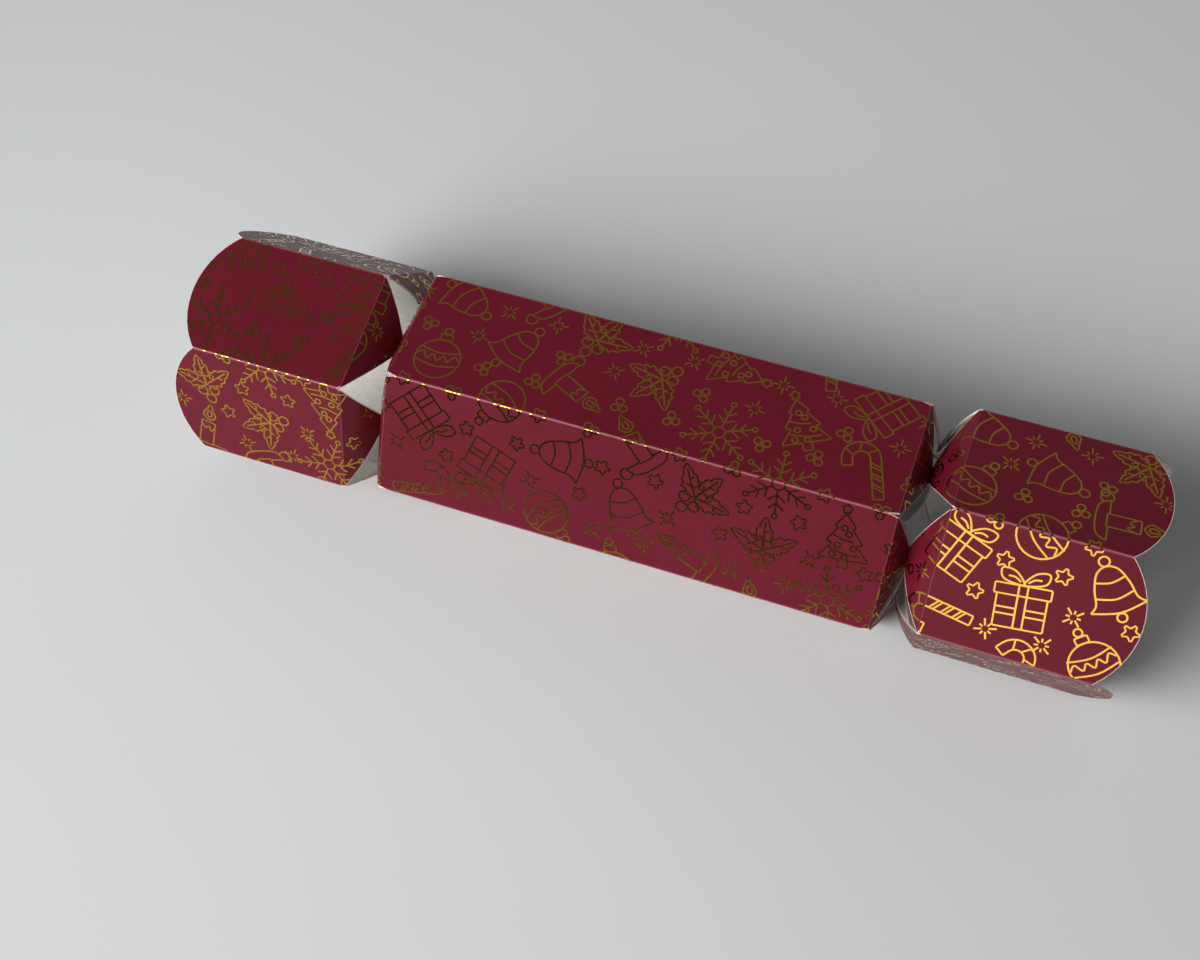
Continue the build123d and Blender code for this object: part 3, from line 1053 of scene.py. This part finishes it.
def finish_card(name, card, foil, nodes):
    """Pieces of card and foil that ride the body of that name."""
    dress(finish_mesh(card, f"{name}_card", CARD_MATERIALS), name, nodes)
    if foil.faces:
        dress(finish_mesh(foil, f"{name}_foil", (FOIL,)), name, [])


def make_panels(name, outline, way, shift, twist):
    """Card and foil of a ring of six panels."""
    card, foil = bmesh.new(), bmesh.new()
    for number, side in enumerate(SIDES):
        place = panel_place(number * TURN + twist, way)
        trim = PANEL_WIDTH / 2 - SEAM_GAP if side == SEAM[1] else None
        lay_card(card, foil, side, outline, fold_lines(), place, way, shift,
                 joined=joined_places(side), trim=trim)
    finish_card(name, card, foil, [f"{name}_panel_{side}" for side in SIDES])


def make_flap(name, side, crease, way, slant, reach, bulge, start, skew, turn):
    """Card and foil of one neck flap."""
    bend = CARD * math.acos(reach / slant)
    card, foil = bmesh.new(), bmesh.new()
    outline, lines = flap_outline(slant, skew, bend), flap_lines(slant, bend)
    place = flap_place(crease, way, slant, reach, bulge, turn)
    lay_card(card, foil, side, outline, lines, place, way, bend, start)
    finish_card(name, card, foil, [name])


make_panels("barrel", barrel_outline(), 1, 0.0, 0.0)
for end, way in ENDS.items():
    # the place of a tail's top crease shows its turn about the cracker's axis
    crease = JOINTS[f"{end}_tail_flap_top_crease"]["pos_m"]
    twist = math.atan2(-crease[1], crease[2])
    skew = -WAIST_RADIUS * math.tan(twist / 2)
    make_panels(f"{end}_tail", tail_outline(), way, TAIL_SHIFT, twist)
    for number, side in enumerate(SIDES):
        make_flap(f"{end}_barrel_flap_{side}", side, way * BARREL_END, way, BARREL_FLAP, BARREL_REACH,
                  FLAP_BULGE["barrel"], way * BARREL_END, skew, number * TURN)
        make_flap(f"{end}_tail_flap_{side}", side, way * TAIL_START, -way, TAIL_FLAP, TAIL_REACH,
                  FLAP_BULGE["tail"], way * (BARREL_END + NECK_FLAT), -skew, number * TURN + twist)


# Snap, glue tabs and what the cracker holds

def finish_solid(node, material):
    """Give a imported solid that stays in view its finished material."""
    solid = frame["nodes"][node]
    if not solid.material_slots:
        solid.data.materials.append(material)
    for slot in solid.material_slots:
        slot.material = material


def add_sheet(work, rows, thickness):
    """Thin closed sheet over a grid of (point, normal) rows."""
    faces = [[[work.verts.new(point + normal * lift) for point, normal in row] for row in rows]
             for lift in (thickness / 2, -thickness / 2)]
    outer, inner = faces
    strips = [pair for face in faces for pair in zip(face, face[1:])]
    for end in (0, -1):
        strips.append((outer[end], inner[end]))
        strips.append(([row[end] for row in outer], [row[end] for row in inner]))
    for first, second in strips:
        for j in range(len(first) - 1):
            work.faces.new([first[j], first[j + 1], second[j + 1], second[j]]).smooth = True


def hat_path(side, pitch, bottom):
    """Points across the folded tissue, to and fro from its lowest layer up."""
    path = []
    for layer in range(HAT_LAYERS):
        way = 1 if layer % 2 else -1
        level = bottom + pitch * (layer + 0.5)
        for step in range(HAT_STEPS_ACROSS + 1):
            path.append(Vector((0, -way * side + 2 * way * side * step / HAT_STEPS_ACROSS, level)))
        if layer + 1 < HAT_LAYERS:
            for step in range(1, HAT_FOLD_STEPS):
                angle = math.pi * step / HAT_FOLD_STEPS
                turn = Vector((0, way * math.sin(angle), -math.cos(angle)))
                path.append(Vector((0, way * side, level + pitch / 2)) + turn * pitch / 2)
    return path


def folded_hat():
    """Tissue crown folded to and fro into a flat packet with a pointed end."""
    low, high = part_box("paper_hat")
    pitch = (high.z - low.z) / HAT_LAYERS
    side = (high.y - low.y) / 2 - pitch / 2
    path = hat_path(side, pitch, low.z)
    rows = []
    for index, point in enumerate(path):
        # the sheet's upper face swaps over at each fold, so normals follow the path's own left side
        run = (path[min(index + 1, len(path) - 1)] - path[max(index - 1, 0)]).normalized()
        left = Vector((0, -run.z, run.y))
        end = high.x - HAT_POINT * abs(point.y) / (side + pitch / 2)
        row = []
        for step in range(HAT_STEPS_ALONG + 1):
            x = low.x + (end - low.x) * step / HAT_STEPS_ALONG
            wave = sum(height * math.sin(x * along + point.y * across) for height, along, across in HAT_WAVES)
            row.append((Vector((x, point.y, point.z + wave)), left))
        rows.append(row)
    work = bmesh.new()
    add_sheet(work, rows, TISSUE)
    hat = finish_mesh(work, "paper_hat_tissue", (green_tissue(),))
    dress(hat, "barrel", ["paper_hat"])


def curled_motto():
    """Printed slip whose ends lift a little."""
    low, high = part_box("motto_slip")
    middle, level = (low + high) / 2, low.z + (high.z - low.z) / 2
    reach, side = (high.x - low.x) / 2, (high.y - low.y) / 2
    steps_along, steps_across = MOTTO_HALF_STEPS
    rows = []
    for step in range(2 * steps_along + 1):
        along = reach * (step / steps_along - 1)
        over = max(abs(along) - MOTTO_FLAT, 0.0)
        slope = math.copysign(2 * MOTTO_CURL * over / (reach - MOTTO_FLAT) ** 2, along)
        lift = MOTTO_CURL * (over / (reach - MOTTO_FLAT)) ** 2
        normal = Vector((-slope, 0, 1)).normalized()
        rows.append([(Vector((middle.x + along, side * across / steps_across, level + lift)), normal)
                     for across in range(-steps_across, steps_across + 1)])
    work = bmesh.new()
    add_sheet(work, rows, high.z - low.z)
    sheet = work.loops.layers.uv.verify()
    for face in work.faces:
        for corner in face.loops:
            place = corner.vert.co
            corner[sheet].uv = (reach - abs(place.x - middle.x), side - abs(place.y))
    slip = finish_mesh(work, "motto_slip_sheet", (motto_paper(),))
    slip.data.uv_layers[0].name = "sheet"
    dress(slip, "barrel", ["motto_slip"])


folded_hat()
curled_motto()
for body in ("barrel", "left_tail", "right_tail"):
    finish_solid(f"{body}_glue_tab", LINING)
snap_card = manila_card()
for end in ENDS:
    finish_solid(f"snap_strip_{end}", snap_card)
    finish_solid(f"snap_patch_{end}", SNAP_PASTE)
finish_solid("snap_sleeve", SLEEVE)
finish_solid("gift_spinning_top", turned_beech())


# Floor, light and camera

def pale_floor():
    """Plain pale floor under the cracker."""
    level = cad_box[0][2]
    mesh = bpy.data.meshes.new("floor")
    corners = [(x * FLOOR_REACH, y * FLOOR_REACH, level) for x, y in ((-1, -1), (1, -1), (1, 1), (-1, 1))]
    mesh.from_pydata(corners, [], [(0, 1, 2, 3)])
    material, tree, shader = new_material("pale_floor")
    cloud = noise_node(tree, object_place(tree), 6.0)
    paint(tree, shader, cloud, *FLOOR_TONES)
    shader["Roughness"].default_value = 0.8
    mesh.materials.append(material)
    new_object("floor", mesh)


def area_lamp(name, place, aim, width, height, power, spread):
    """Soft oblong lamp that points at a place, with a grid that limits its spread in degrees."""
    data = bpy.data.lights.new(name, "AREA")
    data.shape = "RECTANGLE"
    data.size = width
    data.size_y = height
    data.energy = power
    data.spread = math.radians(spread)
    lamp = new_object(name, data)
    lamp.location = place
    lamp.rotation_euler = (Vector(aim) - Vector(place)).to_track_quat("-Z", "Y").to_euler()


def studio_world():
    """Dim surround, brighter behind the cracker."""
    world = bpy.data.worlds.new("studio")
    bpy.context.scene.world = world
    world.use_nodes = True
    tree = world.node_tree
    direction = tree.nodes.new("ShaderNodeTexCoord").outputs["Generated"]
    behind = map_range(tree, parts_of(tree, direction)["Y"], -0.2, 0.8)
    tone = colour_mix(tree, behind, SURROUND_FRONT, SURROUND_BEHIND)
    tree.links.new(tone, tree.nodes["Background"].inputs["Color"])


def photo_camera():
    """Camera at the photograph's place and angle."""
    data = bpy.data.cameras.new("camera")
    data.lens = CAMERA_LENS
    data.sensor_width = CAMERA_SENSOR
    data.sensor_fit = "HORIZONTAL"
    data.clip_start = CAMERA_NEAR
    camera = new_object("camera", data)
    back = -Vector(CAMERA_LOOK).normalized()
    right = Vector(CAMERA_UP).cross(back).normalized()
    up = back.cross(right)
    turn = Matrix((right, up, back)).transposed()
    camera.matrix_world = Matrix.Translation(CAMERA_PLACE) @ turn.to_4x4()
    bpy.context.scene.camera = camera


pale_floor()
studio_world()
for name, values in LAMPS.items():
    area_lamp(name, **values)
photo_camera()

bpy.context.scene.view_settings.view_transform = "Standard"
